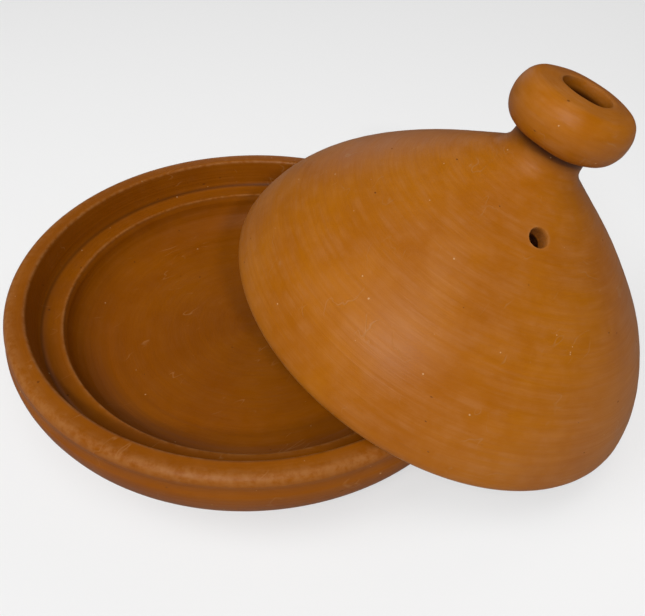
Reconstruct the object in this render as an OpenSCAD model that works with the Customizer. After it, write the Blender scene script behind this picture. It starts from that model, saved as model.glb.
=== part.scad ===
// Clay tagine: a shallow cooking dish and a domed lid with a cupped knob.
// The lid stands beside its closed place: its edge rests on the dish's rim
// at two points and on the table at a third.

/* [Dish] */

// Widest diameter of the dish, across its belly
dish_diameter = 300; // [220:1:380]

// Height of the dish from the table to the top of its rim
dish_height = 52; // [44:1:70]

// Diameter of the flat foot the dish stands on
foot_diameter = 210; // [140:1:230]

// Thickness of the rim, from its inner to its outer side
rim_width = 12.5; // [10:0.5:18]

// Radius of the rounded outer edge of the rim
rim_round = 5; // [3.5:0.25:5]

// Radius of the crisper inner edge of the rim
rim_inner_round = 2.5; // [1.5:0.25:4]

// Depth of the shallow groove turned under the rim
rim_groove = 0.9; // [0.4:0.1:2.5]

// How far the belly stands out beyond the rim
belly_swell = 1.5; // [0.5:0.25:5]

// Depth of the seat for the lid, below the top of the rim
seat_depth = 20; // [14:0.5:24]

// Width of the seat ring the lid sits on
seat_width = 14; // [10:0.5:20]

// How much the wall above the seat leans outwards
seat_wall_lean = 3; // [1:0.25:5]

// Radius of the hollow where this wall runs into the seat
seat_fillet = 5; // [2:0.25:5.5]

// Thickness of the dish's floor
floor_thickness = 9; // [6:0.5:14]

// Width of the sloping bowl wall, from the seat in to the flat floor
bowl_slope = 25; // [12:1:36]

/* [Lid] */

// Clearance around the lid's edge when the lid is seated
seat_clearance = 2; // [1:0.25:5]

// Thickness of the lid's wall
lid_wall = 8; // [6:0.5:11]

// Height of the domed part, from the lid's edge to the neck
dome_height = 112; // [80:1:150]

// Slope of the dome at its edge, measured from upright
edge_slope = 13.5; // [4:0.5:25]

// Slope of the dome just under the neck, measured from upright
top_slope = 57.5; // [45:0.5:65]

// Diameter of the neck under the knob
neck_diameter = 39; // [32:1:52]

// Height of the neck
neck_height = 12.5; // [6:0.5:18]

/* [Knob] */

// Widest diameter of the knob
knob_diameter = 64; // [52:1:84]

// Height of the knob above the neck
knob_height = 25; // [20:0.5:36]

// How far the knob's top rises from its shoulder to its opening
knob_rise = 1.2; // [0:0.1:3]

// Diameter of the round opening in the knob
cup_diameter = 27; // [16:0.5:36]

// Radius of the edge of this opening
cup_round = 1.2; // [0.8:0.1:3]

// Depth of the hollow inside the knob
cup_depth = 20; // [14:0.5:22]

// How much wider the hollow is than its opening, on each side
cup_swell = 5; // [0:0.25:6]

/* [Vent] */

// Diameter of the steam vent through the lid's wall
vent_diameter = 10; // [6:0.5:14]

// Place of the vent up the dome, from 0 at the edge to 1 at the neck
vent_place = 0.79; // [0.55:0.01:0.86]

// Turn of the vent around the lid, from the side that leans to the table
vent_turn = -89; // [-170:1:-20]

/* [Leaning lid] */

// Lean of the lid from upright
lean_angle = 18.5; // [14:0.25:24]

// Clearance left where the lid's edge rests on the rim
rest_clearance = 0.3; // [0.2:0.05:1]

/* [Hidden] */

$fn = 180;
clay_dish = [0.56, 0.31, 0.12];
clay_lid = [0.68, 0.39, 0.14];

// steps that each curved stretch of an outline is divided into
arc_steps = 6;
dome_steps = 16;

// ---- dish sizes
belly_r = dish_diameter / 2;
rim_out_r = belly_r - belly_swell;
rim_in_r = rim_out_r - rim_width;
rim_core_z = dish_height - rim_round;
rim_core_out = rim_out_r - rim_round;
rim_inner_z = dish_height - rim_inner_round;
rim_core_in = rim_in_r + rim_inner_round;
seat_z = dish_height - seat_depth;
seat_out_r = rim_in_r - seat_wall_lean;
seat_in_r = seat_out_r - seat_width;
floor_r = seat_in_r - bowl_slope;
foot_r = foot_diameter / 2;
groove_z = rim_core_z - rim_round * 0.35;
belly_z = groove_z - 7.5;

// ---- lid sizes
lid_r = seat_out_r - seat_clearance;
lip_r = lid_wall / 2;
neck_r = neck_diameter / 2;
neck_z = dome_height + neck_height;
knob_r = knob_diameter / 2;
knob_top = neck_z + knob_height;
cup_r = cup_diameter / 2;
knob_mid_z = neck_z + knob_height * 0.5;

function arc(cx, cy, rx, ry, a0, a1, n) =
    [for (i = [0:n]) let (a = a0 + (a1 - a0) * i / n) [cx + rx * cos(a), cy + ry * sin(a)]];

// ---- outline of the dish: out over the foot, up the belly, over the rim,
// down to the seat and the floor
dish_outline = concat(
    [[0, 0]],
    arc(foot_r, belly_z, belly_r - foot_r, belly_z, -90, 0, 8),
    [[rim_out_r - rim_groove * 0.6, groove_z - 2.6],
     [rim_out_r - rim_groove, groove_z - 0.6]],
    arc(rim_core_out, rim_core_z, rim_round, rim_round, 0, 90, arc_steps),
    arc(rim_core_in, rim_inner_z, rim_inner_round, rim_inner_round, 90, 180, 4),
    arc(seat_out_r - seat_fillet, seat_z + seat_fillet, seat_fillet, seat_fillet, 0, -90, 5),
    arc(seat_in_r + 1.5, seat_z - 1.5, 1.5, 1.5, 90, 180, 3),
    arc(floor_r, seat_z - 3, bowl_slope - 1, seat_z - 3 - floor_thickness, 0, -90, 8),
    [[0, floor_thickness]]
);

// ---- the dome's curve, a cubic between the edge and the neck
edge_p = [lid_r, lip_r + 1];
neck_p = [neck_r + 0.5, dome_height];
pull = norm(neck_p - edge_p) * 0.323;
edge_c = edge_p + pull * [-sin(edge_slope), cos(edge_slope)];
neck_c = neck_p - pull * [-sin(top_slope), cos(top_slope)];

function dome(t) =
    pow(1 - t, 3) * edge_p + 3 * pow(1 - t, 2) * t * edge_c
    + 3 * (1 - t) * t * t * neck_c + pow(t, 3) * neck_p;

function dome_way(t) =
    let (v = 3 * pow(1 - t, 2) * (edge_c - edge_p) + 6 * (1 - t) * t * (neck_c - edge_c)
        + 3 * t * t * (neck_p - neck_c))
    v / norm(v);

function dome_out(t) = let (v = dome_way(t)) [v[1], -v[0]];

// last place up the dome that the inner wall follows
inner_end = 0.93;
inner_top = (dome(inner_end) - lid_wall * dome_out(inner_end))[1];

// ---- outline of the lid: under the edge, up the dome, neck, knob, down into
// the cup, then the dome's inner side
lid_outline = concat(
    arc(lid_r - lip_r, lip_r, lip_r, lip_r, -90, 0, 4),
    [for (i = [0:dome_steps]) dome(i / dome_steps * 0.965)],
    [[neck_r + 0.9, dome_height + 1.6],
     [neck_r, dome_height + 4.2],
     [neck_r, neck_z - 1.5]],
    arc(cup_r + 10, knob_mid_z, knob_r - cup_r - 10, knob_height * 0.5, -72, 76, 10),
    [[cup_r + 5.5, knob_top + knob_rise * 0.65]],
    arc(cup_r + cup_round, knob_top + knob_rise - cup_round, cup_round, cup_round, 85, 180, 4),
    [[cup_r, knob_top - 5],
     [cup_r + cup_swell * 0.75, knob_top - 8.5],
     [cup_r + cup_swell, knob_top - 12],
     [cup_r + cup_swell * 0.5, knob_top - cup_depth + 2.5],
     [cup_r - 2, knob_top - cup_depth + 0.3],
     [0, knob_top - cup_depth],
     [0, inner_top + 2]],
    [for (i = [dome_steps:-1:1]) let (t = i / dome_steps * inner_end) dome(t) - lid_wall * dome_out(t)],
    arc(lid_r - lip_r, lip_r, lip_r, lip_r, -180, -112.5, 3)
);

// ---- where the lid leans: its edge is a ring of round section, and this
// ring touches the table and comes to rest over the rim; rim_gap is the space
// between the rim and the middle of the ring's section
ring_r = lid_r - lip_r;
ring_z = ring_r * sin(lean_angle) + lip_r;

function rim_gap(x, a) =
    let (px = x + ring_r * cos(a) * cos(lean_angle),
         py = ring_r * sin(a),
         pz = ring_z - ring_r * cos(a) * sin(lean_angle),
         r = norm([px, py]))
    r > rim_core_out ? norm([r - rim_core_out, pz - rim_core_z]) - rim_round
    : r > rim_core_in ? pz - dish_height
    : norm([rim_core_in - r, pz - rim_inner_z]) - rim_inner_round;

function least_gap(x) = min([for (a = [0:0.5:180]) rim_gap(x, a)]);

function rest_x(lo, hi, n) =
    n == 0 ? hi
    : let (m = (lo + hi) / 2)
      least_gap(m) < lip_r + rest_clearance ? rest_x(m, hi, n - 1) : rest_x(lo, m, n - 1);

ring_x = rest_x(belly_r * 0.4, belly_r + lid_r + 10, 22);
lid_x = ring_x - lip_r * sin(lean_angle);
lid_z = ring_z - lip_r * cos(lean_angle);

// ---- the vent's axis, square to the dome
vent_p = dome(vent_place) - lid_wall / 2 * dome_out(vent_place);
vent_out = dome_out(vent_place);

module dish() {
    color(clay_dish)
        rotate_extrude()
            polygon(dish_outline);
}

module vent_drill() {
    rotate([0, 0, vent_turn])
        translate([vent_p[0], 0, vent_p[1]])
            rotate([0, atan2(vent_out[0], vent_out[1]), 0])
                cylinder(h = lid_wall * 3, d = vent_diameter, center = true);
}

module lid() {
    color(clay_lid)
        translate([lid_x, 0, lid_z])
            rotate([0, lean_angle, 0])
                difference() {
                    rotate_extrude()
                        polygon(lid_outline);
                    vent_drill();
                }
}

dish();
lid();
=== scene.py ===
"""Clay tagine: a wheel-turned cooking dish, and its domed lid leaning on the dish's rim."""

import logging
import math
from dataclasses import dataclass, field
from enum import Enum

import bpy
import numpy as np
from mathutils import Matrix, Vector

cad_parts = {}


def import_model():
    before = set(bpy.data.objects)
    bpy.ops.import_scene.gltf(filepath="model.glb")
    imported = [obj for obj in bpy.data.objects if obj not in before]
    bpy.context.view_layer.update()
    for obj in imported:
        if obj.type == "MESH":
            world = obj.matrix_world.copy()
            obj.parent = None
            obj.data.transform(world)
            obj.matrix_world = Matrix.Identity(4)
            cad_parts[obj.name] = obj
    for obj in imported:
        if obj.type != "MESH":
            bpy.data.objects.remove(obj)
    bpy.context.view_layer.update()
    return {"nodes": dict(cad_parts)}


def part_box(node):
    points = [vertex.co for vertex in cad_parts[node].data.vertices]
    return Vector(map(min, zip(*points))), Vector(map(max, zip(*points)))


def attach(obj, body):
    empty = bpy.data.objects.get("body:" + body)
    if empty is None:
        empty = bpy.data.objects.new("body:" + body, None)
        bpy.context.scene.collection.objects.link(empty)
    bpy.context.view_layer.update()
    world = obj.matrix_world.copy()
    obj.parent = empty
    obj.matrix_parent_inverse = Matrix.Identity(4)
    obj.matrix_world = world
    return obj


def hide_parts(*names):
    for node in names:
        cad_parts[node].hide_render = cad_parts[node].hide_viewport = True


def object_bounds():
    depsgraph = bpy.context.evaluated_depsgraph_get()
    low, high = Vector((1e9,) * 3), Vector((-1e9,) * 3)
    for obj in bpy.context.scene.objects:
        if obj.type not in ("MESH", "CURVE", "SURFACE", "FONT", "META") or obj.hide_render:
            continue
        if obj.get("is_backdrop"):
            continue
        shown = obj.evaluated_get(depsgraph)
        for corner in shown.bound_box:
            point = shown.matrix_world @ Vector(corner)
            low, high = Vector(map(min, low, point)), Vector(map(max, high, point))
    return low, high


LOG = logging.getLogger("tagine")
MM = 0.001
RUN_NAME = "wall_run"
# Mesh attribute of edges painted lighter: wear, and painted highlight on the dish's rim and seat edges.
EDGE_NAME = "worn_and_highlit_edge"
# Mesh attribute of painted shade: how dark the creases and hollows are painted.
CREASE_SHADE_NAME = "painted_crease_shade"
PLACE_NAME = "turned_place"

Colour = tuple[float, float, float]
Point = tuple[float, float]


class Stretch(Enum):
    """A stretch of a turned outline, named after the part of the wall that it makes."""

    FOOT = "foot"
    BELLY = "belly"
    RIM = "rim"
    SEAT = "seat"
    BOWL = "bowl"
    FLOOR = "floor"
    INSIDE = "inside"
    LIP = "lip"
    DOME = "dome"
    NECK = "neck"
    KNOB = "knob"
    CUP = "cup"


class Socket(Enum):
    """Kinds of socket that the shader groups have."""

    VALUE = "NodeSocketFloat"
    VECTOR = "NodeSocketVector"


@dataclass(frozen=True)
class HandMarks:
    """How finely a stretch is divided, and what the potter's hands left on it.

    rings is a count; ridge (height), gap (between ridges) and sway (slow unevenness) are in
    millimetres.
    """

    rings: int
    ridge: float
    gap: float
    sway: float


@dataclass
class Section:
    """Half section of a turned piece, one entry for each ring of vertices, in millimetres."""

    radius: np.ndarray
    height: np.ndarray
    run: np.ndarray
    out: np.ndarray
    ridge: np.ndarray
    gap: np.ndarray
    sway: np.ndarray

    def nearest_run(self, radius: np.ndarray, height: np.ndarray) -> np.ndarray:
        """Finds the place along the outline that lies nearest to each given point.

        Args:
            radius: Distances from the turning axis, in millimetres.
            height: Heights along this axis, in millimetres.

        Returns:
            The run of each point along the outline, in millimetres.
        """
        ends = np.stack([self.radius, self.height], 1)
        starts, steps = ends[:-1], np.diff(ends, axis=0)
        lengths = np.maximum((steps**2).sum(1), 1e-9)
        found = np.empty(len(radius))
        batch = 4000
        for first in range(0, len(radius), batch):
            part = slice(first, first + batch)
            away = np.stack([radius[part], height[part]], 1)[:, None] - starts
            share = np.clip((away * steps).sum(2) / lengths, 0, 1)
            gaps = ((away - share[..., None] * steps) ** 2).sum(2)
            best = gaps.argmin(1)
            inside = share[np.arange(len(best)), best]
            found[part] = self.run[best] + inside * np.diff(self.run)[best]
        return found


class Outline:
    """Half section of a turned piece, drawn stretch by stretch in millimetres."""

    STEP = 0.1
    BLEND = 5.0

    def __init__(self) -> None:
        """Starts with an empty drawing."""
        self.points: list[Point] = []
        self.stretches: list[Stretch] = []
        self.current = Stretch.FOOT

    def begin(self, stretch: Stretch) -> None:
        """Names the stretch that the next points belong to."""
        self.current = stretch

    def line(self, *points: Point) -> None:
        """Adds straight pieces through the given points."""
        self.points += points
        self.stretches += [self.current] * len(points)

    def arc(self, centre: Point, radii: Point, start: float, end: float, steps: int = 24) -> None:
        """Adds part of an ellipse.

        Args:
            centre: Its centre.
            radii: Its half width and half height.
            start: Angle of its first point, in degrees.
            end: Angle of its last point, in degrees.
            steps: How many straight pieces stand for it.
        """
        for angle in np.radians(np.linspace(start, end, steps + 1)):
            across, up = radii[0] * math.cos(angle), radii[1] * math.sin(angle)
            self.line((centre[0] + across, centre[1] + up))

    def section(self, marks: dict[Stretch, HandMarks], softness: float) -> Section:
        """Rounds the corners off, and divides every stretch into its rings.

        Args:
            marks: The rings and the hand marks of each stretch.
            softness: How far the corners are softened, in millimetres.

        Returns:
            The finished section.
        """
        points = np.array(self.points)
        run = np.concatenate([[0], np.cumsum(np.hypot(*np.diff(points, axis=0).T))])
        fine = np.arange(0, run[-1] + self.STEP, self.STEP)
        line = np.stack([np.interp(fine, run, points[:, axis]) for axis in (0, 1)], 1)
        line = self._soften(line, softness)
        last = np.searchsorted(run[:-1], fine, "left").clip(0, len(run) - 1)
        owner = np.array([self.stretches[i] for i in last])
        values = np.array([[marks[s].ridge, marks[s].gap, marks[s].sway] for s in owner])
        values = self._soften(values, self.BLEND)
        true_run = np.concatenate([[0], np.cumsum(np.hypot(*np.diff(line, axis=0).T))])
        places = self._places(owner, true_run, marks)
        shape = [np.interp(places, true_run, line[:, axis]) for axis in (0, 1)]
        shape[0][[0, -1]] = 0
        way = np.stack([np.gradient(side, places) for side in shape], 1)
        way /= np.hypot(*way.T)[:, None]
        out = np.stack([way[:, 1], -way[:, 0]], 1)
        worn = [np.interp(places, true_run, values[:, i]) for i in range(3)]
        return Section(shape[0], shape[1], places, out, *worn)

    @staticmethod
    def _soften(values: np.ndarray, width: float) -> np.ndarray:
        """Smooths rows of values along the outline.

        Args:
            values: One row for each fine step.
            width: The reach of the smoothing, in millimetres.

        Returns:
            The smoothed rows, with the first and last left in place.
        """
        reach = int(3 * width / Outline.STEP)
        bell = np.exp(-0.5 * (np.arange(-reach, reach + 1) * Outline.STEP / width) ** 2)
        bell /= bell.sum()
        head = 2 * values[:1] - values[reach:0:-1]
        tail = 2 * values[-1:] - values[-2 : -reach - 2 : -1]
        long = np.concatenate([head, values, tail])
        return np.stack([np.convolve(column, bell, "valid") for column in long.T], 1)

    @staticmethod
    def _places(owner: np.ndarray, run: np.ndarray, marks: dict[Stretch, HandMarks]) -> np.ndarray:
        """Spreads the rings evenly over each stretch.

        Args:
            owner: The stretch of each fine step.
            run: The run of each fine step.
            marks: The number of rings of each stretch.

        Returns:
            The run of every ring.
        """
        changes = np.flatnonzero(owner[1:] != owner[:-1]) + 1
        starts = [0, *changes]
        ends = [*changes, len(owner) - 1]
        spread = [
            np.linspace(run[a], run[b], marks[owner[a]].rings, endpoint=False)
            for a, b in zip(starts, ends)
        ]
        return np.concatenate([*spread, run[-1:]])


@dataclass(frozen=True)
class Hands:
    """The unevenness of one pair of hands: ridges in a slow spiral, and a slight sway."""

    seed: int
    waves: int = 14

    def marks(self, section: Section, turn: np.ndarray) -> np.ndarray:
        """Works out how far each vertex stands off the true outline.

        Args:
            section: The section being turned.
            turn: The angle of each vertex of a ring, in radians.

        Returns:
            Offsets in millimetres, one row for each ring.
        """
        draw = np.random.default_rng(self.seed)
        run, angle = section.run[:, None], turn[None, :]
        sway = np.zeros((len(section.run), len(turn)))
        for _ in range(self.waves):
            lobes = draw.integers(1, 8)
            length = draw.uniform(35, 190)
            first, second = draw.uniform(0, math.tau, 2)
            size = draw.uniform(0.5, 1.0) / math.sqrt(lobes)
            sway += size * np.sin(lobes * angle + first) * np.sin(math.tau * run / length + second)
        sway /= math.sqrt(self.waves) * 0.35
        drift = 0.9 * np.sin(angle + draw.uniform(0, math.tau)) + 0.5 * np.sin(3 * angle + 1.0)
        phase = math.tau * run / section.gap[:, None]
        ridges = 0.6 * np.sin(phase + angle + drift) + 0.4 * np.sin(1.63 * phase - angle + 1.7 * drift)
        ridges *= 0.75 + 0.25 * np.sin(2 * angle + run / 23)
        offset = section.ridge[:, None] * ridges + section.sway[:, None] * sway
        pole_fade = 9.0
        fade = np.clip(section.radius / pole_fade, 0, 1) ** 2
        return offset * fade[:, None]


@dataclass
class Turned:
    """A piece turned on the potter's wheel, which the two pieces of the tagine share."""

    name: str
    node: str
    body: str
    slot: str
    hands: Hands
    segments: int = 420
    softness: float = 0.45

    def outline(self) -> Outline:
        """Draws the half section; each piece has its own."""
        raise NotImplementedError

    def marks(self) -> dict[Stretch, HandMarks]:
        """Says how each stretch was worked; each piece has its own."""
        raise NotImplementedError

    def edges(self) -> list[tuple[float, float, float]]:
        """Lists the edges that are painted lighter, for wear and as painted highlight: radius, height and
        reach in millimetres.
        """
        raise NotImplementedError

    def shaded_creases(self) -> list[tuple[float, float, float]]:
        """Lists the creases and hollows that are painted darker as painted shade: radius, height and reach
        in millimetres.
        """
        raise NotImplementedError

    def turn(self) -> tuple[bpy.types.Object, Section]:
        """Turns the section into a closed mesh around the Z axis.

        Returns:
            The new object, in metres, and the section that it was turned from.
        """
        section = self.outline().section(self.marks(), self.softness)
        turn = np.linspace(0, math.tau, self.segments, endpoint=False)
        offset = self.hands.marks(section, turn)
        radius = section.radius[:, None] + offset * section.out[:, :1]
        height = section.height[:, None] + offset * section.out[:, 1:]
        rings = np.stack([radius * np.cos(turn), radius * np.sin(turn), height], 2)[1:-1]
        poles = [(0, 0, section.height[0]), (0, 0, section.height[-1])]
        points = np.concatenate([rings.reshape(-1, 3), poles]) * MM
        count = len(rings)
        grid = np.arange(count * self.segments).reshape(count, self.segments)
        after = np.roll(grid, -1, 1)
        quads = np.stack([grid[:-1], after[:-1], after[1:], grid[1:]], 2).reshape(-1, 4)
        low, high = count * self.segments, count * self.segments + 1
        faces = quads.tolist()
        faces += [(low, int(b), int(a)) for a, b in zip(grid[0], after[0])]
        faces += [(high, int(a), int(b)) for a, b in zip(grid[-1], after[-1])]
        mesh = bpy.data.meshes.new(self.name)
        mesh.from_pydata(points.tolist(), [], faces)
        mesh.update()
        piece = bpy.data.objects.new(self.name, mesh)
        bpy.context.scene.collection.objects.link(piece)
        return piece, section

    def mark_wear_and_painted_light(self, piece: bpy.types.Object, section: Section) -> None:
        """Writes each vertex's upright place, run along the wall, its edge mask of wear and painted
        highlight, and its painted crease shade into the mesh.

        Args:
            piece: The turned object, with its holes cut.
            section: The section that it was turned from.
        """
        mesh = piece.data
        flat = np.empty(len(mesh.vertices) * 3)
        mesh.vertices.foreach_get("co", flat)
        points = flat.reshape(-1, 3) / MM
        radius = np.hypot(points[:, 0], points[:, 1])
        run = section.nearest_run(radius, points[:, 2])
        wear_and_highlight, painted_shade = np.zeros(len(points)), np.zeros(len(points))
        # Painted shade: the second mask darkens the listed creases and hollows.
        for mask, spots in ((wear_and_highlight, self.edges()), (painted_shade, self.shaded_creases())):
            for spot_radius, spot_height, reach in spots:
                gap = np.hypot(radius - spot_radius, points[:, 2] - spot_height)
                np.maximum(mask, np.exp(-((gap / reach) ** 2)), out=mask)
        for label, values in ((RUN_NAME, run * MM), (EDGE_NAME, wear_and_highlight), (CREASE_SHADE_NAME, painted_shade)):
            layer = mesh.attributes.new(label, "FLOAT", "POINT")
            layer.data.foreach_set("value", values.astype(np.float32))
        layer = mesh.attributes.new(PLACE_NAME, "FLOAT_VECTOR", "POINT")
        layer.data.foreach_set("vector", flat.astype(np.float32))
        mesh.shade_smooth()
        mesh.set_sharp_from_angle(angle=math.radians(38))

    def place(self, piece: bpy.types.Object) -> None:
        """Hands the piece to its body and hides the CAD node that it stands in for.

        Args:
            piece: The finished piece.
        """
        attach(piece, self.body)
        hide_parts(self.node)


@dataclass
class Dish(Turned):
    """The shallow cooking dish, with a seat ring for the lid inside its rim."""

    foot_radius: float = 105.0
    belly_height: float = 37.75
    rim_side: float = 1.5
    groove: float = 0.25
    rim_width: float = 12.7
    outer_round: float = 5.0
    inner_round: float = 2.3
    seat_height: float = 32.0
    seat_wall_foot: float = 133.0
    seat_hollow: float = 5.0
    seat_inner: float = 119.0
    seat_bead: float = 0.3
    floor_radius: float = 94.0
    floor_height: float = 9.0

    def __post_init__(self) -> None:
        """Takes the belly's radius and the rim's height from the frame."""
        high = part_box(self.node)[1]
        self.belly = high.x / MM
        self.height = high.z / MM

    def outline(self) -> Outline:
        """Draws the dish from the middle of its foot, over the rim, to the middle of its floor.

        Returns:
            The half section.
        """
        side = self.belly - self.rim_side
        inner = side - self.rim_width
        core = self.height - self.outer_round
        seat = self.seat_height
        line = Outline()
        line.begin(Stretch.FOOT)
        line.line((0, 0), (self.foot_radius - 6, 0), (self.foot_radius, 0))
        line.begin(Stretch.BELLY)
        reach = (self.belly - self.foot_radius, self.belly_height)
        line.arc((self.foot_radius, self.belly_height), reach, -88, 0, 48)
        line.line((self.belly - 0.15, self.belly_height + 2.2))
        line.begin(Stretch.RIM)
        shallow = side - self.groove * 0.8
        line.line((side + 0.8, core - 6.2), (side + 0.1, core - 4.4), (shallow, core - 3.0))
        line.line((side - self.groove, core - 2.0), (shallow, core - 1.2), (side - 0.1, core + 0.2))
        line.arc((side - self.outer_round, core), (self.outer_round,) * 2, 8, 90)
        corner = (inner + self.inner_round, self.height - self.inner_round)
        line.arc(corner, (self.inner_round,) * 2, 88, 178)
        line.begin(Stretch.SEAT)
        hollow = (self.seat_wall_foot - self.seat_hollow, seat + self.seat_hollow)
        line.arc(hollow, (self.seat_hollow,) * 2, -4, -84)
        edge = self.seat_inner
        line.line((edge + 5, seat - 0.1), (edge + 2.2, seat), (edge + 0.9, seat + self.seat_bead))
        line.line((edge + 0.2, seat - 0.2), (edge, seat - 1.4))
        line.begin(Stretch.BOWL)
        slope = (edge - self.floor_radius - 1, seat - 3 - self.floor_height)
        line.arc((self.floor_radius, seat - 3), slope, -2, -84)
        line.begin(Stretch.FLOOR)
        middle, floor = self.floor_radius, self.floor_height
        line.line((middle + 0.8, floor + 0.75), (middle - 0.5, floor + 0.7))
        line.line((middle - 3.0, floor + 0.1), (0, floor))
        return line

    def marks(self) -> dict[Stretch, HandMarks]:
        """Says how each stretch of the dish was worked.

        Returns:
            The hand marks of each stretch.
        """
        return {
            Stretch.FOOT: HandMarks(12, 0.0, 9, 0.0),
            Stretch.BELLY: HandMarks(36, 0.06, 9, 0.25),
            Stretch.RIM: HandMarks(64, 0.03, 6, 0.08),
            Stretch.SEAT: HandMarks(50, 0.10, 4.5, 0.12),
            Stretch.BOWL: HandMarks(28, 0.16, 7, 0.3),
            Stretch.FLOOR: HandMarks(38, 0.14, 9, 0.25),
        }

    def edges(self) -> list[tuple[float, float, float]]:
        """Lists the rim's two edges and the seat's inner edge, which are painted lighter.

        Returns:
            The radius, height and reach of each, in millimetres.
        """
        side = self.belly - self.rim_side
        return [
            # The rim's outer edge: rubbed wear, and a painted highlight along its ridge.
            (side - 2.4, self.height - 0.9, 4.0),
            (side - self.rim_width + 0.7, self.height - 0.8, 1.2),
            # The seat's inner edge: a painted highlight line.
            (self.seat_inner + 0.5, self.seat_height, 1.3),
        ]

    def shaded_creases(self) -> list[tuple[float, float, float]]:
        """Lists the foot of the seat's wall, which is painted darker as painted shade."""
        return [(self.seat_wall_foot - 0.8, self.seat_height + 0.8, 1.3)]

    def build(self) -> bpy.types.Object:
        """Turns the dish and marks its wear.

        Returns:
            The dish.
        """
        piece, section = self.turn()
        self.mark_wear_and_painted_light(piece, section)
        return piece


@dataclass(frozen=True)
class Vent:
    """The steam vent, pushed through the lid's soft wall with a stick, in millimetres."""

    radius: float = 5.0
    share: float = 0.79
    turn: float = -89.0
    flare: float = 0.55
    ragged: float = 0.28
    sides: int = 56
    seed: int = 5

    def cutter(self, lid: "Lid") -> bpy.types.Object:
        """Builds the solid that leaves the vent when it is taken from the lid.

        Args:
            lid: The lid, which knows where the dome's wall is.

        Returns:
            A closed object, flared where the wall's outer side is.
        """
        place, out = lid.dome(self.share), lid.dome_out(self.share)
        draw = np.random.default_rng(self.seed)
        angle = np.linspace(0, math.tau, self.sides, endpoint=False)
        waves = [(n, draw.uniform(0, math.tau), draw.uniform(0.4, 1)) for n in (2, 3, 5, 9, 13)]
        uneven = sum(size * np.sin(n * angle + first) / n**0.6 for n, first, size in waves)
        rows = []
        depths = (-16.0, -9.0, -2.2, -1.0, -0.35, 0.15, 1.4, 8.0)
        flares = (0.25, 0.1, 0.0, 0.12, 0.5, 1.0, 1.9, 1.9)
        for depth, widening in zip(depths, flares):
            rough = 0.35 + min(widening, 1.0)
            radius = self.radius + widening * self.flare + uneven * self.ragged * rough * 0.5
            row = [radius * np.cos(angle), radius * np.sin(angle), np.full(self.sides, depth)]
            rows.append(np.stack(row, 1))
        points = np.concatenate(rows) * MM
        faces: list[list[int]] = []
        for row in range(len(rows) - 1):
            for side in range(self.sides):
                beside = (side + 1) % self.sides
                low, high = row * self.sides, (row + 1) * self.sides
                faces.append([low + side, low + beside, high + beside, high + side])
        faces.append(list(range(self.sides))[::-1])
        faces.append([(len(rows) - 1) * self.sides + side for side in range(self.sides)])
        mesh = bpy.data.meshes.new("vent_stick")
        mesh.from_pydata(points.tolist(), [], faces)
        stick = bpy.data.objects.new("vent_stick", mesh)
        bpy.context.scene.collection.objects.link(stick)
        tilt = Matrix.Rotation(math.atan2(out[0], out[1]), 4, "Y")
        around = Matrix.Rotation(math.radians(self.turn), 4, "Z")
        stick.matrix_world = around @ Matrix.Translation((place[0] * MM, 0, place[1] * MM)) @ tilt
        return stick

    def cut(self, piece: bpy.types.Object, lid: "Lid") -> None:
        """Takes the vent out of the lid's wall and throws the cutter away.

        Args:
            piece: The turned lid, still upright at the origin.
            lid: The lid that it was made by.
        """
        stick = self.cutter(lid)
        take = piece.modifiers.new("vent", "BOOLEAN")
        take.operation = "DIFFERENCE"
        take.solver = "EXACT"
        take.object = stick
        graph = bpy.context.evaluated_depsgraph_get()
        solid = bpy.data.meshes.new_from_object(piece.evaluated_get(graph))
        piece.modifiers.clear()
        old = piece.data
        piece.data = solid
        solid.name = piece.name
        bpy.data.meshes.remove(old)
        shape = stick.data
        bpy.data.objects.remove(stick)
        bpy.data.meshes.remove(shape)

    def centre(self, lid: "Lid") -> Vector:
        """Gives the middle of the vent on the dome's outer side.

        Args:
            lid: The lid, which knows where the dome's wall is.

        Returns:
            The place in the lid's own millimetres.
        """
        radius, height = lid.dome(self.share)
        turn = math.radians(self.turn)
        return Vector((radius * math.cos(turn), radius * math.sin(turn), height))


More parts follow.
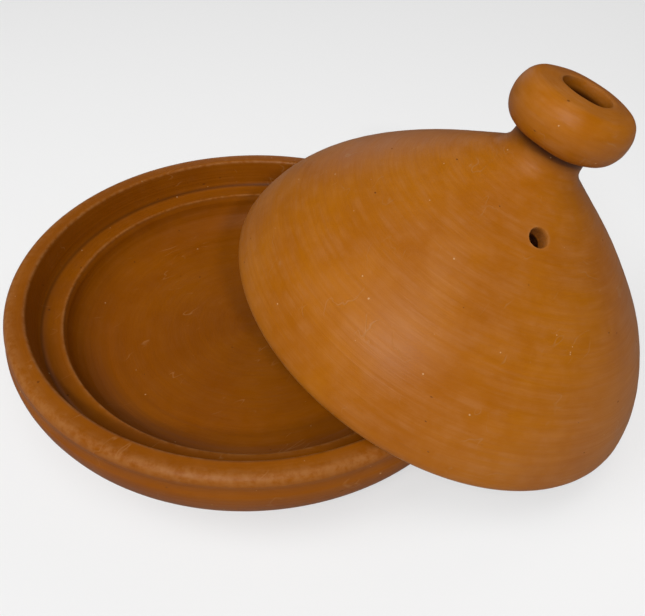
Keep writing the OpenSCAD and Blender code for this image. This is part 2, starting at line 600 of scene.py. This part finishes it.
@dataclass
class Lid(Turned):
    """The domed lid with its neck, its cupped knob and its steam vent."""

    edge_radius: float = 131.0
    lip: float = 4.0
    wall: float = 8.0
    dome_height: float = 112.0
    edge_slope: float = 13.5
    top_slope: float = 57.5
    pull: float = 0.323
    dome_end: float = 0.965
    inner_end: float = 0.93
    neck: float = 19.5
    neck_height: float = 12.5
    knob_radius: float = 32.0
    knob_height: float = 25.0
    cup_radius: float = 13.5
    cup_depth: float = 20.0
    cup_round: float = 1.1
    cup_swell: float = 5.0
    knob_rise: float = 1.2
    lean: float = 18.5
    vent: Vent = field(default_factory=Vent)

    def curve(self) -> list[np.ndarray]:
        """Gives the four points that draw the dome's curve.

        Returns:
            The curve's ends, with the two points that pull it between them.
        """
        edge = np.array([self.edge_radius, self.lip + 1])
        top = np.array([self.neck + 0.5, self.dome_height])
        pull = np.hypot(*(top - edge)) * self.pull
        low, high = math.radians(self.edge_slope), math.radians(self.top_slope)
        rise = edge + pull * np.array([-math.sin(low), math.cos(low)])
        fall = top - pull * np.array([-math.sin(high), math.cos(high)])
        return [edge, rise, fall, top]

    def dome(self, share: float) -> Point:
        """Gives a point on the dome's outer side.

        Args:
            share: How far up the curve it lies, from 0 at the edge to 1 at the neck.

        Returns:
            Its radius and height.
        """
        a, b, c, d = self.curve()
        rest = 1 - share
        point = rest**3 * a + 3 * rest**2 * share * b + 3 * rest * share**2 * c + share**3 * d
        return float(point[0]), float(point[1])

    def dome_out(self, share: float) -> Point:
        """Gives the direction square to the dome's outer side.

        Args:
            share: How far up the curve the place lies.

        Returns:
            The direction's parts away from the axis and up it.
        """
        step = 1e-4
        before, after = self.dome(share - step), self.dome(share + step)
        across, up = after[0] - before[0], after[1] - before[1]
        size = math.hypot(across, up)
        return up / size, -across / size

    def inner(self, share: float) -> Point:
        """Gives the point on the dome's inner side at a share of its curve."""
        point, out = self.dome(share), self.dome_out(share)
        return point[0] - self.wall * out[0], point[1] - self.wall * out[1]

    def outline(self) -> Outline:
        """Draws the lid from the middle of its inside, round the lip, up to the cup.

        Returns:
            The half section.
        """
        line = Outline()
        line.begin(Stretch.INSIDE)
        top = self.inner(self.inner_end)[1]
        line.line((0, top + 2), (8, top + 1.7))
        for share in np.linspace(self.inner_end, 0.03, 60):
            line.line(self.inner(float(share)))
        line.begin(Stretch.LIP)
        line.arc((self.edge_radius - self.lip, self.lip), (self.lip,) * 2, -178, -4, 30)
        line.begin(Stretch.DOME)
        for share in np.linspace(0.004, self.dome_end, 90):
            line.line(self.dome(float(share)))
        line.begin(Stretch.NECK)
        neck_top = self.dome_height + self.neck_height
        line.line((self.neck + 2.2, self.dome_height + 0.3), (self.neck + 1.2, self.dome_height + 1.6))
        line.line((self.neck + 0.5, self.dome_height + 4.2), (self.neck, neck_top - 2.0))
        line.line((self.neck + 0.1, neck_top - 0.1), (self.neck + 1.2, neck_top + 0.45))
        line.begin(Stretch.KNOB)
        middle = neck_top + self.knob_height / 2
        crest = self.cup_radius + 10
        line.arc((crest, middle), (self.knob_radius - crest, self.knob_height / 2), -76, 76, 60)
        top = neck_top + self.knob_height
        cup, rise, swell = self.cup_radius, self.knob_rise, self.cup_swell
        line.line((cup + 5.5, top + rise * 0.65), (cup + 2.8, top + rise * 0.95))
        line.begin(Stretch.CUP)
        line.arc((cup + self.cup_round, top + rise - self.cup_round), (self.cup_round,) * 2, 82, 178, 12)
        line.line((cup, top - 4.6), (cup + swell * 0.7, top - 8.2), (cup + swell, top - 12))
        low = top - self.cup_depth
        line.line((cup + swell * 0.5, low + 2.6), (cup - 2, low + 0.4), (5, low + 0.1), (0, low))
        return line

    def marks(self) -> dict[Stretch, HandMarks]:
        """Says how each stretch of the lid was worked.

        Returns:
            The hand marks of each stretch.
        """
        return {
            Stretch.INSIDE: HandMarks(52, 0.3, 11, 0.3),
            Stretch.LIP: HandMarks(22, 0.0, 8, 0.05),
            Stretch.DOME: HandMarks(72, 0.06, 10, 0.22),
            Stretch.NECK: HandMarks(18, 0.03, 5, 0.1),
            Stretch.KNOB: HandMarks(38, 0.04, 7, 0.22),
            Stretch.CUP: HandMarks(30, 0.03, 5, 0.1),
        }

    def edges(self) -> list[tuple[float, float, float]]:
        """Lists the lip's outer edge and the cup's edge.

        Returns:
            The radius, height and reach of each, in millimetres.
        """
        top = self.dome_height + self.neck_height + self.knob_height
        return [
            (self.edge_radius - 0.6, self.lip - 2.0, 2.0),
            (self.cup_radius + 0.6, top + self.knob_rise - 0.4, 1.1),
        ]

    def shaded_creases(self) -> list[tuple[float, float, float]]:
        """Lists the crease under the knob and the hollow inside it, which are painted darker as painted
        shade.

        Returns:
            The radius, height and reach of each, in millimetres.
        """
        neck_top = self.dome_height + self.neck_height
        return [
            # Painted shade in the crease under the knob.
            (self.neck + 0.2, neck_top - 0.8, 5.0),
            # Painted shade in the knob's hollow, standing in for its dark inside.
            (self.cup_radius + 2.0, neck_top + self.knob_height - 8.5, 6.0),
        ]

    def lean_over(self, piece: bpy.types.Object, section: Section) -> None:
        """Leans the upright lid as the CAD lid leans, with its edge at the CAD box's ends.

        Args:
            piece: The finished lid, upright at the origin.
            section: The section that it was turned from.
        """
        low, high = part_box(self.node)
        angle = math.radians(self.lean)
        radius, height = section.radius * MM, section.height * MM
        reach = (radius * math.cos(angle) + height * math.sin(angle)).max()
        drop = (radius * math.sin(angle) - height * math.cos(angle)).max()
        base = Vector((high.x - reach, (low.y + high.y) / 2, low.z + drop))
        piece.data.transform(Matrix.Translation(base) @ Matrix.Rotation(angle, 4, "Y"))

    def build(self) -> bpy.types.Object:
        """Turns the lid, cuts its vent, marks its wear and leans it on the dish.

        Returns:
            The lid.
        """
        piece, section = self.turn()
        self.vent.cut(piece, self)
        self.mark_wear_and_painted_light(piece, section)
        self.wear_vent(piece)
        self.lean_over(piece, section)
        return piece

    def wear_vent(self, piece: bpy.types.Object) -> None:
        """Adds the vent's mouth to the worn edges.

        Args:
            piece: The lid, still upright at the origin, with its wear marked.
        """
        mesh = piece.data
        flat = np.empty(len(mesh.vertices) * 3)
        mesh.vertices.foreach_get("co", flat)
        gap = np.linalg.norm(flat.reshape(-1, 3) / MM - np.array(self.vent.centre(self)), axis=1)
        layer = mesh.attributes[EDGE_NAME].data
        wear_and_highlight = np.empty(len(mesh.vertices), np.float32)
        layer.foreach_get("value", wear_and_highlight)
        mouth = np.exp(-(((gap - self.vent.radius - 0.5) / 0.7) ** 2))
        layer.foreach_set("value", np.maximum(wear_and_highlight, mouth).astype(np.float32))


class Bench:
    """A node tree that is being wired."""

    COLUMN = 5

    def __init__(self, tree: bpy.types.NodeTree) -> None:
        """Starts on a tree, whose nodes are laid out in columns as they come."""
        self.tree = tree
        self.count = 0

    def add(self, kind: str, feeds: dict | None = None, **settings: object) -> bpy.types.Node:
        """Adds a node.

        Args:
            kind: The node's type, without its ShaderNode prefix.
            feeds: What each input takes: a socket to join, or a value to set.
            settings: The node's own settings.

        Returns:
            The new node.
        """
        prefix = "" if kind.startswith("NodeGroup") else "ShaderNode"
        node = self.tree.nodes.new(prefix + kind)
        node.location = (230 * (self.count // self.COLUMN), -210 * (self.count % self.COLUMN))
        self.count += 1
        for name, value in settings.items():
            setattr(node, name, value)
        for name, value in (feeds or {}).items():
            self.feed(node.inputs[name], value)
        return node

    def feed(self, socket: bpy.types.NodeSocket, value: object) -> None:
        """Joins a socket to another one, or sets its value.

        Args:
            socket: The input to feed.
            value: A socket to join, or a value to set.
        """
        if isinstance(value, bpy.types.NodeSocket):
            self.tree.links.new(value, socket)
        else:
            socket.default_value = value

    def sum(self, operation: str, *values: object) -> bpy.types.NodeSocket:
        """Adds a Math node and gives its result."""
        node = self.add("Math", dict(enumerate(values)), operation=operation)
        return node.outputs[0]

    def stretch(self, value: object, low: object, high: object) -> bpy.types.NodeSocket:
        """Maps a value from between low and high onto a smooth step from 0 to 1.

        Args:
            value: The value to map.
            low: What becomes 0.
            high: What becomes 1.

        Returns:
            The mapped value.
        """
        feeds = {"Value": value, "From Min": low, "From Max": high, "To Min": 0.0, "To Max": 1.0}
        return self.add("MapRange", feeds, interpolation_type="SMOOTHSTEP").outputs["Result"]

    def blend(self, share: object, below: object, above: object) -> bpy.types.NodeSocket:
        """Lays one colour over another.

        Args:
            share: How much of the upper colour shows.
            below: The lower colour.
            above: The upper colour.

        Returns:
            The mixed colour.
        """
        node = self.add("Mix", data_type="RGBA")
        self.feed(node.inputs[0], share)
        for index, colour in ((6, below), (7, above)):
            paint = (*colour, 1.0) if isinstance(colour, tuple) else colour
            self.feed(node.inputs[index], paint)
        return node.outputs[2]


class Effect:
    """A shader node group that gives one mask of the clay's surface."""

    name = ""
    inputs: tuple[tuple[str, Socket, float], ...] = ()
    output = "Mask"

    def tree(self) -> bpy.types.NodeTree:
        """Gives the group's tree, which is built on its first use.

        Returns:
            The tree, with its named inputs and its one output.
        """
        ready = bpy.data.node_groups.get(self.name)
        if ready:
            return ready
        tree = bpy.data.node_groups.new(self.name, "ShaderNodeTree")
        for label, kind, value in self.inputs:
            socket = tree.interface.new_socket(label, in_out="INPUT", socket_type=kind.value)
            if kind is Socket.VALUE:
                socket.default_value = value
        tree.interface.new_socket(self.output, in_out="OUTPUT", socket_type=Socket.VALUE.value)
        bench = Bench(tree)
        source = bench.add("NodeGroupInput").outputs
        result = self.wire(bench, source)
        bench.add("NodeGroupOutput", {self.output: result})
        return tree

    def wire(self, bench: Bench, source: bpy.types.NodeOutputs) -> bpy.types.NodeSocket:
        """Wires the effect; each effect has its own."""
        raise NotImplementedError

    def use(self, bench: Bench, **feeds: object) -> bpy.types.NodeSocket:
        """Places the group in a material.

        Args:
            bench: The material's tree.
            feeds: The group's inputs, with underscores for spaces.

        Returns:
            The group's mask.
        """
        node = bench.add("Group", node_tree=self.tree())
        for label, value in feeds.items():
            bench.feed(node.inputs[label.replace("_", " ")], value)
        return node.outputs[self.output]


class TurningLines(Effect):
    """Fine lines round the piece, left by the wheel and the wet sponge."""

    name = "turning lines"
    inputs = (
        ("Place", Socket.VECTOR, 0.0),
        ("Run", Socket.VALUE, 0.0),
        ("Breaks", Socket.VALUE, 3.0),
        ("Fineness", Socket.VALUE, 300.0),
        ("Contrast", Socket.VALUE, 0.2),
    )
    output = "Lines"

    def wire(self, bench: Bench, source: bpy.types.NodeOutputs) -> bpy.types.NodeSocket:
        """Draws noise that is long round the piece and short along its wall.

        Args:
            bench: The group's tree.
            source: The group's inputs.

        Returns:
            The effect's result.
        """
        flat = bench.add("VectorMath", {0: source["Place"], 1: (1, 1, 0)}, operation="MULTIPLY")
        round_it = bench.add("VectorMath", {0: flat.outputs[0]}, operation="NORMALIZE")
        feeds = {0: round_it.outputs[0], "Scale": source["Breaks"]}
        broken = bench.add("VectorMath", feeds, operation="SCALE")
        along = bench.sum("MULTIPLY", source["Run"], source["Fineness"])
        lift = bench.add("CombineXYZ", {"Z": along})
        place = bench.add("VectorMath", {0: broken.outputs[0], 1: lift.outputs[0]}, operation="ADD")
        feeds = {"Vector": place.outputs[0], "Scale": 1.0, "Detail": 4.0, "Roughness": 0.6}
        noise = bench.add("TexNoise", feeds).outputs[0]
        low = bench.sum("SUBTRACT", 0.5, source["Contrast"])
        high = bench.sum("ADD", 0.5, source["Contrast"])
        return bench.stretch(noise, low, high)


class FiringClouds(Effect):
    """Soft clouds of lighter and darker clay from the kiln."""

    name = "firing clouds"
    inputs = (
        ("Place", Socket.VECTOR, 0.0),
        ("Scale", Socket.VALUE, 20.0),
        ("Contrast", Socket.VALUE, 0.2),
        ("Detail", Socket.VALUE, 4.0),
    )
    output = "Clouds"

    def wire(self, bench: Bench, source: bpy.types.NodeOutputs) -> bpy.types.NodeSocket:
        """Draws even noise with a set contrast.

        Args:
            bench: The group's tree.
            source: The group's inputs.

        Returns:
            The effect's result.
        """
        feeds = {"Vector": source["Place"], "Scale": source["Scale"], "Detail": source["Detail"]}
        noise = bench.add("TexNoise", {**feeds, "Roughness": 0.58}).outputs[0]
        low = bench.sum("SUBTRACT", 0.5, source["Contrast"])
        high = bench.sum("ADD", 0.5, source["Contrast"])
        return bench.stretch(noise, low, high)


class Grit(Effect):
    """Sand grains and burnt-out bits in the clay."""

    name = "grit"
    inputs = (
        ("Place", Socket.VECTOR, 0.0),
        ("Scale", Socket.VALUE, 200.0),
        ("Share", Socket.VALUE, 0.1),
        ("Size", Socket.VALUE, 0.2),
    )
    output = "Grains"

    def wire(self, bench: Bench, source: bpy.types.NodeOutputs) -> bpy.types.NodeSocket:
        """Draws a dot in a share of the cells, each of its own size.

        Args:
            bench: The group's tree.
            source: The group's inputs.

        Returns:
            The effect's result.
        """
        bend = bench.add("TexNoise", {"Vector": source["Place"], "Scale": 900.0, "Detail": 1.0}).outputs[0]
        feeds = {"Vector": source["Place"], "Scale": source["Scale"], "Randomness": 1.0}
        cells = bench.add("TexVoronoi", feeds)
        parts = bench.add("SeparateColor", {0: cells.outputs["Color"]}).outputs
        chosen = bench.sum("LESS_THAN", parts[0], source["Share"])
        own = bench.sum("MULTIPLY_ADD", parts[1], 0.8, 0.35)
        rough = bench.sum("MULTIPLY_ADD", bend, 0.7, 0.65)
        reach = bench.sum("MULTIPLY", source["Size"], bench.sum("MULTIPLY", own, rough))
        inner = bench.sum("MULTIPLY", reach, 0.55)
        dot = bench.stretch(cells.outputs["Distance"], reach, inner)
        return bench.sum("MULTIPLY", dot, chosen)


class RubbedAndHighlitEdge(Effect):
    """Edges rubbed lighter by handling, and painted edge highlights, in broken patches."""

    name = "rubbed and highlit edge"
    inputs = (
        ("Edge", Socket.VALUE, 0.0),
        ("Place", Socket.VECTOR, 0.0),
        ("Scale", Socket.VALUE, 150.0),
        ("Cover", Socket.VALUE, 0.5),
    )
    output = "Rub and highlight"

    def wire(self, bench: Bench, source: bpy.types.NodeOutputs) -> bpy.types.NodeSocket:
        """Breaks the edge mask up with noise.

        Args:
            bench: The group's tree.
            source: The group's inputs.

        Returns:
            The effect's result.
        """
        feeds = {"Vector": source["Place"], "Scale": source["Scale"], "Detail": 5.0, "Roughness": 0.65}
        noise = bench.add("TexNoise", feeds).outputs[0]
        bar = bench.sum("SUBTRACT", 1.0, source["Cover"])
        high = bench.sum("ADD", bar, 0.4)
        return bench.sum("MULTIPLY", bench.stretch(noise, bar, high), source["Edge"])


class Scuffs(Effect):
    """Short thin scratches, gathered in patches."""

    name = "scuffs"
    inputs = (
        ("Place", Socket.VECTOR, 0.0),
        ("Scale", Socket.VALUE, 90.0),
        ("Thinness", Socket.VALUE, 0.012),
        ("Cover", Socket.VALUE, 0.4),
    )
    output = "Scratches"

    def wire(self, bench: Bench, source: bpy.types.NodeOutputs) -> bpy.types.NodeSocket:
        """Draws the middle line of a stretched noise where a second noise lets it show.

        Args:
            bench: The group's tree.
            source: The group's inputs.

        Returns:
            The effect's result.
        """
        slant = {"Vector": source["Place"], "Axis": (0.3, 0.5, 0.8), "Angle": 0.9}
        turned = bench.add("VectorRotate", slant).outputs[0]
        squeezed = bench.add("VectorMath", {0: turned, 1: (1.0, 0.22, 0.6)}, operation="MULTIPLY")
        feeds = {"Vector": squeezed.outputs[0], "Scale": source["Scale"], "Detail": 2.0}
        noise = bench.add("TexNoise", feeds).outputs[0]
        away = bench.sum("ABSOLUTE", bench.sum("SUBTRACT", noise, 0.5))
        line = bench.stretch(away, source["Thinness"], 0.0)
        patch_feeds = {"Vector": source["Place"], "Scale": 55.0, "Detail": 2.0}
        patch = bench.add("TexNoise", patch_feeds).outputs[0]
        bar = bench.sum("SUBTRACT", 1.0, source["Cover"])
        shown = bench.stretch(patch, bar, bench.sum("ADD", bar, 0.12))
        return bench.sum("MULTIPLY", line, shown)


@dataclass(frozen=True)
class Masks:
    """The masks of the clay's surface, which its colour, roughness and relief share."""

    wide: bpy.types.NodeSocket
    fine: bpy.types.NodeSocket
    wipe: bpy.types.NodeSocket
    broad: bpy.types.NodeSocket
    small: bpy.types.NodeSocket
    pits: bpy.types.NodeSocket
    grains: bpy.types.NodeSocket
    # Rubbed wear, and painted highlight on the dish's rim and seat edges.
    rub_and_highlight: bpy.types.NodeSocket
    scratches: bpy.types.NodeSocket
    # Painted shade in creases and hollows.
    crease_shade: bpy.types.NodeSocket


@dataclass(frozen=True)
class ClayFinish:
    """Fired clay, sponged smooth and oiled by use; colours are linear."""

    name: str
    light: Colour
    deep: Colour
    line: Colour
    dust: Colour
    dust_share: float
    shine: float
    pit: Colour = (0.09, 0.022, 0.002)
    grain: Colour = (0.55, 0.32, 0.15)
    # Lighter colour of rubbed wear and scuffs, also the painted highlight on the dish's edges.
    rubbed_and_highlight: Colour = (0.36, 0.158, 0.050)
    # Painted shade: the near-black colour laid into creases and hollows.
    painted_shade: Colour = (0.055, 0.014, 0.0008)
    rub_and_highlight_share: float = 0.5
    scuff_share: float = 0.45
    least_rough: float = 0.32
    relief_depth: float = 0.0002

    def masks(self, bench: Bench) -> Masks:
        """Places the shared effects, each at the scale that it has on this clay.

        Args:
            bench: The material's tree.

        Returns:
            The masks.
        """
        place = bench.add("Attribute", attribute_name=PLACE_NAME).outputs["Vector"]
        run = bench.add("Attribute", attribute_name=RUN_NAME).outputs["Fac"]
        edge = bench.add("Attribute", attribute_name=EDGE_NAME).outputs["Fac"]
        crease_shade = bench.add("Attribute", attribute_name=CREASE_SHADE_NAME).outputs["Fac"]
        drawn_out = bench.add("VectorMath", {0: place, 1: (0.55, 0.55, 1.25)}, operation="MULTIPLY")
        long_bits = drawn_out.outputs[0]
        lines, clouds, grit = TurningLines(), FiringClouds(), Grit()
        pits = grit.use(bench, Place=long_bits, Scale=260.0, Share=0.10, Size=0.13)
        chips = grit.use(bench, Place=long_bits, Scale=120.0, Share=0.12, Size=0.09)
        return Masks(
            wide=lines.use(bench, Place=place, Run=run, Breaks=1.1, Fineness=150.0, Contrast=0.26),
            fine=lines.use(bench, Place=place, Run=run, Breaks=2.0, Fineness=620.0, Contrast=0.2),
            wipe=lines.use(bench, Place=place, Run=run, Breaks=2.6, Fineness=420.0, Contrast=0.3),
            broad=clouds.use(bench, Place=place, Scale=16.0, Contrast=0.16, Detail=4.0),
            small=clouds.use(bench, Place=place, Scale=90.0, Contrast=0.24, Detail=6.0),
            pits=bench.sum("MAXIMUM", pits, chips),
            grains=grit.use(bench, Place=place, Scale=190.0, Share=0.12, Size=0.11),
            rub_and_highlight=RubbedAndHighlitEdge().use(bench, Edge=edge, Place=place, Scale=260.0, Cover=0.72),
            scratches=Scuffs().use(bench, Place=place, Cover=self.scuff_share),
            crease_shade=crease_shade,
        )

    def colour(self, bench: Bench, masks: Masks) -> bpy.types.NodeSocket:
        """Lays the clay's colours over each other, from its body up to the sand grains.

        Args:
            bench: The material's tree.
            masks: Where each colour shows.

        Returns:
            The finished colour.
        """
        layers = (
            (masks.wide, 0.3, self.line),
            (masks.fine, 0.35, self.deep),
            (bench.sum("MULTIPLY", masks.wipe, masks.small), self.dust_share, self.dust),
            (masks.scratches, 0.45, self.rubbed_and_highlight),
            # Rubbed wear, and painted highlight on the dish's rim and seat edges.
            (masks.rub_and_highlight, self.rub_and_highlight_share, self.rubbed_and_highlight),
            # Painted shade darkening the creases and the knob's hollow.
            (masks.crease_shade, 0.9, self.painted_shade),
            (masks.pits, 0.7, self.pit),
            (masks.grains, 0.75, self.grain),
        )
        colour = bench.blend(masks.broad, self.deep, self.light)
        for mask, share, paint in layers:
            colour = bench.blend(bench.sum("MULTIPLY", mask, share), colour, paint)
        return colour

    def roughness(self, bench: Bench, masks: Masks) -> bpy.types.NodeSocket:
        """Makes the clay duller on the turning lines, in the clouds and in the pits.

        Args:
            bench: The material's tree.
            masks: Where the clay is duller.

        Returns:
            The finished roughness.
        """
        rough: object = self.least_rough
        for mask, more in ((masks.wide, 0.10), (masks.small, 0.08), (masks.pits, 0.2)):
            rough = bench.sum("MULTIPLY_ADD", mask, more, rough)
        return rough

    def relief(self, bench: Bench, masks: Masks) -> bpy.types.NodeSocket:
        """Raises the wiped lines and the grains, and sinks the pits and scratches.

        Args:
            bench: The material's tree.
            masks: Where the surface rises and falls.

        Returns:
            The surface's normal.
        """
        rises = ((masks.fine, 0.35), (masks.small, 0.35), (masks.grains, 0.8))
        falls = ((masks.pits, -1.4), (masks.scratches, -0.5))
        height = bench.sum("MULTIPLY", masks.wipe, 0.4)
        for mask, share in (*rises, *falls):
            height = bench.sum("MULTIPLY_ADD", mask, share, height)
        feeds = {"Height": height, "Strength": 0.55, "Distance": self.relief_depth}
        return bench.add("Bump", feeds).outputs[0]

    def build(self) -> bpy.types.Material:
        """Makes the clay's material.

        Returns:
            A material whose colour, roughness and fine relief all come from nodes.
        """
        material = bpy.data.materials.new(self.name)
        material.use_nodes = True
        material.node_tree.nodes.clear()
        bench = Bench(material.node_tree)
        masks = self.masks(bench)
        feeds = {
            "Base Color": self.colour(bench, masks),
            "Roughness": self.roughness(bench, masks),
            "Normal": self.relief(bench, masks),
            "Specular IOR Level": self.shine,
            "IOR": 1.5,
        }
        shader = bench.add("BsdfPrincipled", feeds)
        bench.add("OutputMaterial", {"Surface": shader.outputs[0]})
        return material

    def dress(self, piece: bpy.types.Object) -> None:
        """Gives a piece this finish."""
        piece.data.materials.clear()
        piece.data.materials.append(self.build())


LID_CLAY = ClayFinish(
    name="lid_clay",
    light=(0.362, 0.112, 0.0008),
    deep=(0.296, 0.082, 0.0004),
    line=(0.385, 0.118, 0.0025),
    dust=(0.43, 0.185, 0.065),
    dust_share=0.36,
    shine=0.22,
)
DISH_CLAY = ClayFinish(
    name="dish_clay",
    light=(0.250, 0.0675, 0.0004),
    deep=(0.208, 0.0515, 0.0002),
    line=(0.262, 0.075, 0.0014),
    dust=(0.30, 0.120, 0.040),
    dust_share=0.14,
    shine=0.14,
)


@dataclass(frozen=True)
class Panel:
    """A soft studio lamp, which the clay's gloss shows or not; angles in degrees, sizes in metres."""

    name: str
    azimuth: float
    height: float
    size: float
    power: float
    shows: bool = False
    distance: float = 1.5

    def build(self, aim: Vector) -> None:
        """Hangs the lamp.

        Args:
            aim: The point that it is turned to.
        """
        turn, rise = math.radians(self.azimuth), math.radians(self.height)
        way = Vector((math.cos(turn) * math.cos(rise), math.sin(turn) * math.cos(rise), math.sin(rise)))
        lamp = bpy.data.lights.new(self.name, "AREA")
        lamp.shape = "DISK"
        lamp.size = self.size
        lamp.energy = self.power
        holder = bpy.data.objects.new(self.name, lamp)
        bpy.context.scene.collection.objects.link(holder)
        holder.visible_glossy = self.shows
        holder.location = aim + way * self.distance
        holder.rotation_mode = "QUATERNION"
        holder.rotation_quaternion = (-way).to_track_quat("-Z", "Y")


@dataclass(frozen=True)
class Studio:
    """A plain pale floor, soft light and the camera; places in metres."""

    eye: Colour = (0.05215, -0.30458, 0.3102)
    aim: Colour = (0.04306, -0.03539, 0.060)
    roll: float = 3.573
    lens: float = 35.79
    sensor: float = 36.0
    floor_size: float = 12.0
    floor_white: float = 0.78
    floor_in_gloss: float = 0.3
    floor_glow: float = 0.5
    glow_strength: float = 0.96
    backdrop: float = 0.95
    sky: float = 0.08
    panels: tuple[Panel, ...] = (
        Panel("key_light", azimuth=-72, height=36, size=0.12, power=6.2),
        Panel("window_light", azimuth=-160, height=45, size=0.9, power=7.4),
        Panel("front_light", azimuth=-104, height=46, size=0.6, power=9.3, shows=True),
        Panel("right_light", azimuth=-42, height=45, size=0.9, power=0.9),
        Panel("top_light", azimuth=-90, height=80, size=0.9, power=3.9),
        Panel("far_light", azimuth=50, height=34, size=0.9, power=2.6),
        Panel("back_light", azimuth=100, height=14, size=0.8, power=0.8, shows=True),
    )

    def build_camera(self) -> None:
        """Sets the camera up, level apart from a slight roll."""
        back = (Vector(self.eye) - Vector(self.aim)).normalized()
        across = Vector((0, 0, 1)).cross(back).normalized()
        turn = math.radians(self.roll)
        right = across * math.cos(turn) + back.cross(across) * math.sin(turn)
        data = bpy.data.cameras.new("camera")
        data.lens = self.lens
        data.sensor_width = self.sensor
        data.clip_start, data.clip_end = 0.01, 50
        camera = bpy.data.objects.new("camera", data)
        bpy.context.scene.collection.objects.link(camera)
        axes = Matrix((right, back.cross(right), back)).transposed()
        camera.matrix_world = Matrix.Translation(self.eye) @ axes.to_4x4()
        bpy.context.scene.camera = camera

    def build_floor(self) -> None:
        """Lays the floor under the lowest point of the object."""
        low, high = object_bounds()
        half = self.floor_size / 2
        middle = (low + high) / 2
        ways = ((-1, -1), (1, -1), (1, 1), (-1, 1))
        corners = [(x * half + middle.x, y * half + middle.y, 0) for x, y in ways]
        mesh = bpy.data.meshes.new("floor")
        mesh.from_pydata(corners, [], [(0, 1, 2, 3)])
        floor = bpy.data.objects.new("floor", mesh)
        bpy.context.scene.collection.objects.link(floor)
        mesh.materials.append(self.floor_finish())
        floor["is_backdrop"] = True

    def floor_finish(self) -> bpy.types.Material:
        """Makes a matt white floor that looks pale itself and shows only weakly in the clay's gloss.

        Returns:
            The floor's material.
        """
        material = bpy.data.materials.new("pale_floor")
        material.use_nodes = True
        material.node_tree.nodes.clear()
        bench = Bench(material.node_tree)
        white, grey = (self.floor_white,) * 3, (self.floor_in_gloss,) * 3
        paper = bench.add("BsdfDiffuse", {"Color": (*white, 1), "Roughness": 0.6}).outputs[0]
        weak = bench.add("BsdfDiffuse", {"Color": (*grey, 1)}).outputs[0]
        glow = bench.add("Emission", {"Color": (1, 1, 1, 1), "Strength": self.glow_strength}).outputs[0]
        pale = bench.add("MixShader", {0: self.floor_glow, 1: paper, 2: glow}).outputs[0]
        path = bench.add("LightPath").outputs
        gloss = bench.add("MixShader", {0: path["Is Glossy Ray"], 1: paper, 2: weak}).outputs[0]
        seen = bench.add("MixShader", {0: path["Is Camera Ray"], 1: gloss, 2: pale}).outputs[0]
        bench.add("OutputMaterial", {"Surface": seen})
        return material

    def build_light(self) -> None:
        """Fills the room with even light, which looks white behind the object, and hangs the lamps."""
        world = bpy.data.worlds.new("studio")
        world.use_nodes = True
        world.node_tree.nodes.clear()
        bench = Bench(world.node_tree)
        white = (1, 1, 1, 1)
        fill = bench.add("Background", {"Color": white, "Strength": self.sky})
        seen = bench.add("Background", {"Color": white, "Strength": self.backdrop})
        path = bench.add("LightPath").outputs["Is Camera Ray"]
        mix = bench.add("MixShader", {0: path, 1: fill.outputs[0], 2: seen.outputs[0]})
        bench.add("OutputWorld", {"Surface": mix.outputs[0]})
        bpy.context.scene.world = world
        low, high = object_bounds()
        for panel in self.panels:
            panel.build((low + high) / 2)

    def build(self) -> None:
        """Sets the whole studio up."""
        self.build_camera()
        self.build_floor()
        self.build_light()
        bpy.context.scene.view_settings.view_transform = "Standard"


def main() -> None:
    """Builds the studio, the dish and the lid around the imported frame."""
    logging.basicConfig(level=logging.INFO, format="%(message)s")
    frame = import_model()
    LOG.info("frame: %s", ", ".join(sorted(frame["nodes"])))
    Studio().build()
    dish = Dish("cooking_dish", "dish", "dish_body", "dish_clay", Hands(seed=3))
    lid = Lid("domed_lid", "lid", "lid_body", "lid_clay", Hands(seed=8))
    for maker, finish in ((dish, DISH_CLAY), (lid, LID_CLAY)):
        piece = maker.build()
        finish.dress(piece)
        maker.place(piece)
        LOG.info("%s: %d faces", piece.name, len(piece.data.polygons))


if __name__ == "__main__":
    main()
